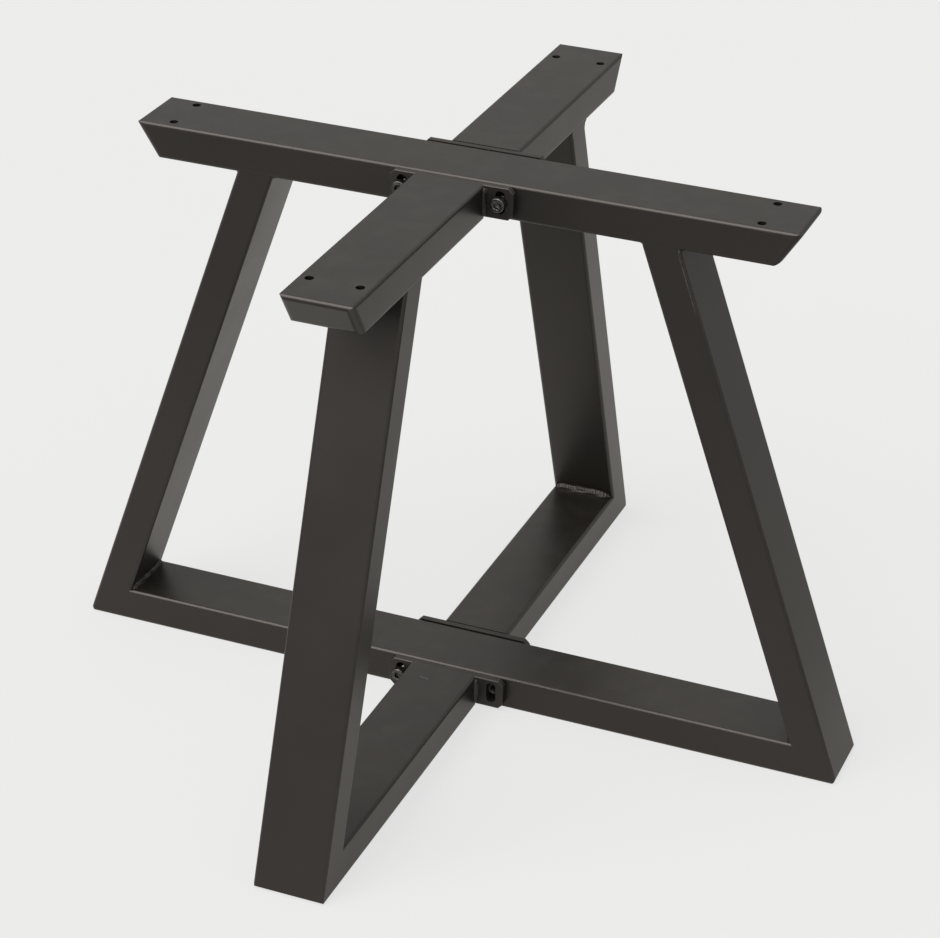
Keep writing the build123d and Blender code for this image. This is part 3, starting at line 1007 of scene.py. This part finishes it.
def add_world():
    """Light from all round: weaker low down behind, and strong from a wide panel in front."""
    world = bpy.data.worlds.new("studio_room")
    bpy.context.scene.world = world
    world.use_nodes = True
    tree = world.node_tree
    tree.nodes.clear()
    looking = node(tree, "ShaderNodeTexCoord").outputs["Generated"]
    parts = node(tree, "ShaderNodeSeparateXYZ", {0: looking}).outputs
    low_down = remap(tree, parts["Z"], LOW_BACK_START, LOW_BACK_END, 1.0, 0.0)
    behind = remap(tree, parts["Y"], BEHIND_START, BEHIND_END)
    shade = maths(tree, "MULTIPLY", low_down, behind)
    rear_light = remap(tree, shade, 0.0, 1.0, ROOM_LIGHT, ROOM_LOW_BACK_LIGHT)
    panel = remap(
        tree, parts["Z"], PANEL_START, PANEL_END, ROOM_LOW_FRONT_LIGHT, ROOM_FRONT_LIGHT
    )
    high_up = remap(tree, parts["Z"], HIGH_START, HIGH_END, 0.0, ROOM_HIGH_FRONT_LIGHT)
    front_light = maths(tree, "ADD", panel, high_up)
    in_front = remap(tree, parts["Y"], IN_FRONT_START, IN_FRONT_END)
    not_right = remap(tree, parts["X"], PANEL_RIGHT_START, PANEL_RIGHT_END, 1.0, 0.0)
    ahead = maths(tree, "MULTIPLY", in_front, not_right)
    both = node(tree, "ShaderNodeMix", data_type="FLOAT")
    for socket, value in zip((0, 2, 3), (ahead, rear_light, front_light)):
        feed(tree, value, both.inputs[socket])
    strength = both.outputs[0]
    background = node(tree, "ShaderNodeBackground", {"Color": ROOM_COLOUR, "Strength": strength})
    output = tree.nodes.new("ShaderNodeOutputWorld")
    tree.links.new(background.outputs[0], output.inputs["Surface"])


def add_sun(name, azimuth, elevation, strength, angle):
    """Soft distant lamp: azimuth turns from the front towards the right."""
    lamp = bpy.data.lights.new(name, "SUN")
    lamp.energy = strength
    lamp.color = LAMP_COLOUR
    lamp.angle = math.radians(angle)
    made = bpy.data.objects.new(name, lamp)
    turn, rise = math.radians(azimuth), math.radians(elevation)
    towards = Vector(
        (math.sin(turn) * math.cos(rise), -math.cos(turn) * math.cos(rise), math.sin(rise))
    )
    made.rotation_mode = "QUATERNION"
    made.rotation_quaternion = towards.to_track_quat("Z", "Y")
    made.location = towards * LAMP_DISTANCE
    bpy.context.scene.collection.objects.link(made)


def add_camera():
    """Camera where the photograph was taken from."""
    back = Vector((
        math.sin(CAMERA_AZIMUTH) * math.cos(CAMERA_ELEVATION),
        -math.cos(CAMERA_AZIMUTH) * math.cos(CAMERA_ELEVATION),
        math.sin(CAMERA_ELEVATION),
    ))
    level = Vector((math.cos(CAMERA_AZIMUTH), math.sin(CAMERA_AZIMUTH), 0))
    upright = back.cross(level)
    right = level * math.cos(CAMERA_ROLL) + upright * math.sin(CAMERA_ROLL)
    upward = upright * math.cos(CAMERA_ROLL) - level * math.sin(CAMERA_ROLL)
    data = bpy.data.cameras.new("photo_camera")
    data.sensor_width = SENSOR_WIDTH
    data.lens = FOCAL_PIXELS / PICTURE_WIDTH * SENSOR_WIDTH
    data.clip_end = 50.0
    camera = bpy.data.objects.new("photo_camera", data)
    turn = Matrix((right, upward, back)).transposed()
    camera.matrix_world = Matrix.Translation(LOOK_AT + back * CAMERA_DISTANCE) @ turn.to_4x4()
    bpy.context.scene.collection.objects.link(camera)
    bpy.context.scene.camera = camera


add_floor()
add_world()
add_sun("key_softbox", KEY_AZIMUTH, KEY_ELEVATION, KEY_STRENGTH, KEY_WIDTH)
add_camera()
bpy.context.scene.view_settings.view_transform = "Standard"
